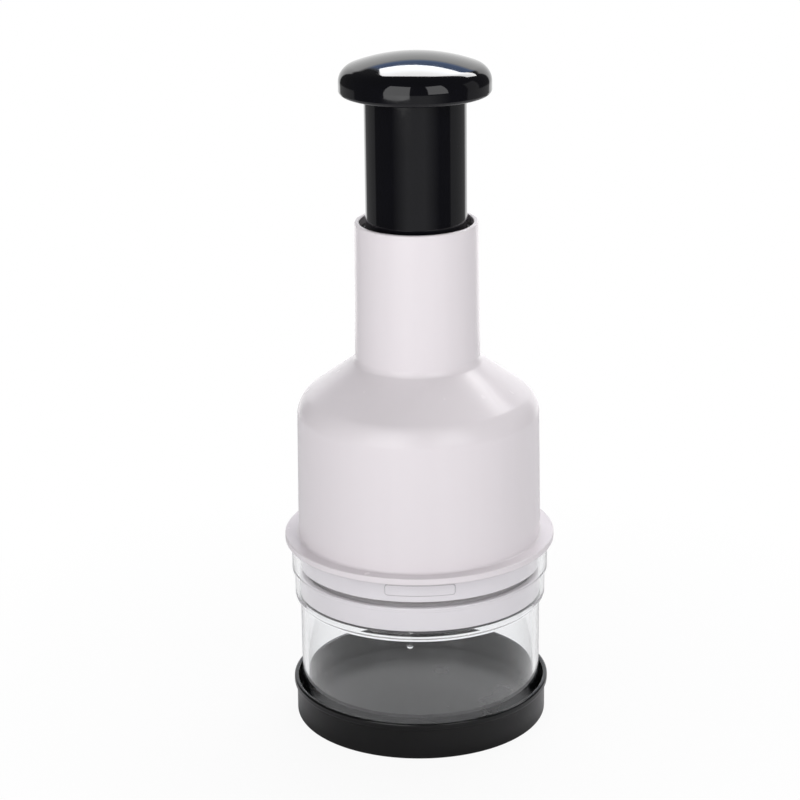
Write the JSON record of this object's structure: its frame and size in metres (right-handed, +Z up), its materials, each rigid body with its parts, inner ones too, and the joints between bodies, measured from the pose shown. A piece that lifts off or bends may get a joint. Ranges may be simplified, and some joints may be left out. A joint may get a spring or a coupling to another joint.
{
  "type": "plunger food chopper",
  "caption": "Press-down kitchen chopper: a sprung plunger drives folded steel blades through a slotted guard into a clear cup that stands in a black base cap.",
  "frame": {"origin": "centre of the base cap's underside, on the surface that the chopper stands on", "axes": "+Z up along the plunger, -Y towards the front of the picture, where the lug on the skirt is, +X to the right"},
  "size_m": [0.0932, 0.0932, 0.2341],
  "materials": {
    "base_black": "satin moulded black ABS",
    "clear_plastic": "clear polished styrene acrylonitrile",
    "white_plastic": "semi-gloss white ABS with a faint pink-grey cast",
    "gloss_black": "high-gloss black ABS",
    "bearing_plastic": "natural acetal",
    "screw_steel": "bright zinc-plated steel",
    "spring_steel": "drawn spring wire",
    "bar_steel": "drawn stainless bar",
    "blade_steel": "fine-ground stainless strip"
  },
  "bodies": {
    "base": {"base_cap": "base_black"},
    "cup": {"clear_cup": "clear_plastic"},
    "housing": {"housing": "white_plastic", "neck_collar": "gloss_black", "spring_barrel": "white_plastic", "barrel_screws": "screw_steel", "ratchet_ring": "bearing_plastic", "index_nut": "bearing_plastic", "return_spring": "spring_steel"},
    "plunger": {"knob": "gloss_black", "stem_tube": "gloss_black", "bearing_plug": "bearing_plastic", "spring_cap": "screw_steel"},
    "blade_unit": {"drive_bar": "bar_steel", "thrust_washer": "bearing_plastic", "shaft_clip": "screw_steel", "blade_holder": "white_plastic", "holder_cap": "white_plastic", "holder_screws": "screw_steel", "hub_washer": "screw_steel", "hub_screw": "screw_steel", "blade_front": "blade_steel", "blade_middle": "blade_steel", "blade_back": "blade_steel"},
    "guard": {"blade_guard": "white_plastic"}
  },
  "joints": [
    {"name": "cup_release", "type": "slide", "parent": "base", "child": "cup", "axis": [0, 0, 1], "range_m": [0, 0.025]},
    {"name": "housing_lift", "type": "slide", "parent": "cup", "child": "housing", "axis": [0, 0, 1], "range_m": [0, 0.03]},
    {"name": "press", "type": "slide", "parent": "housing", "child": "plunger", "axis": [0, 0, -1], "range_m": [0, 0.041], "stiffness_N_per_m": 400, "springref_m": -0.03, "deforming": ["return_spring"]},
    {"name": "blade_turn", "type": "hinge", "parent": "plunger", "child": "blade_unit", "pos_m": [0, 0, 0.1], "axis": [0, 0, 1], "range_deg": [0, 30]},
    {"name": "guard_turn", "type": "hinge", "parent": "housing", "child": "guard", "pos_m": [0, 0, 0.05], "axis": [0, 0, 1], "range_deg": [0, 30]}
  ],
  "couplings": [
    {"joint": "blade_turn", "follows": "press", "rad_per_m": 12.77},
    {"joint": "guard_turn", "follows": "press", "rad_per_m": 12.77}
  ]
}
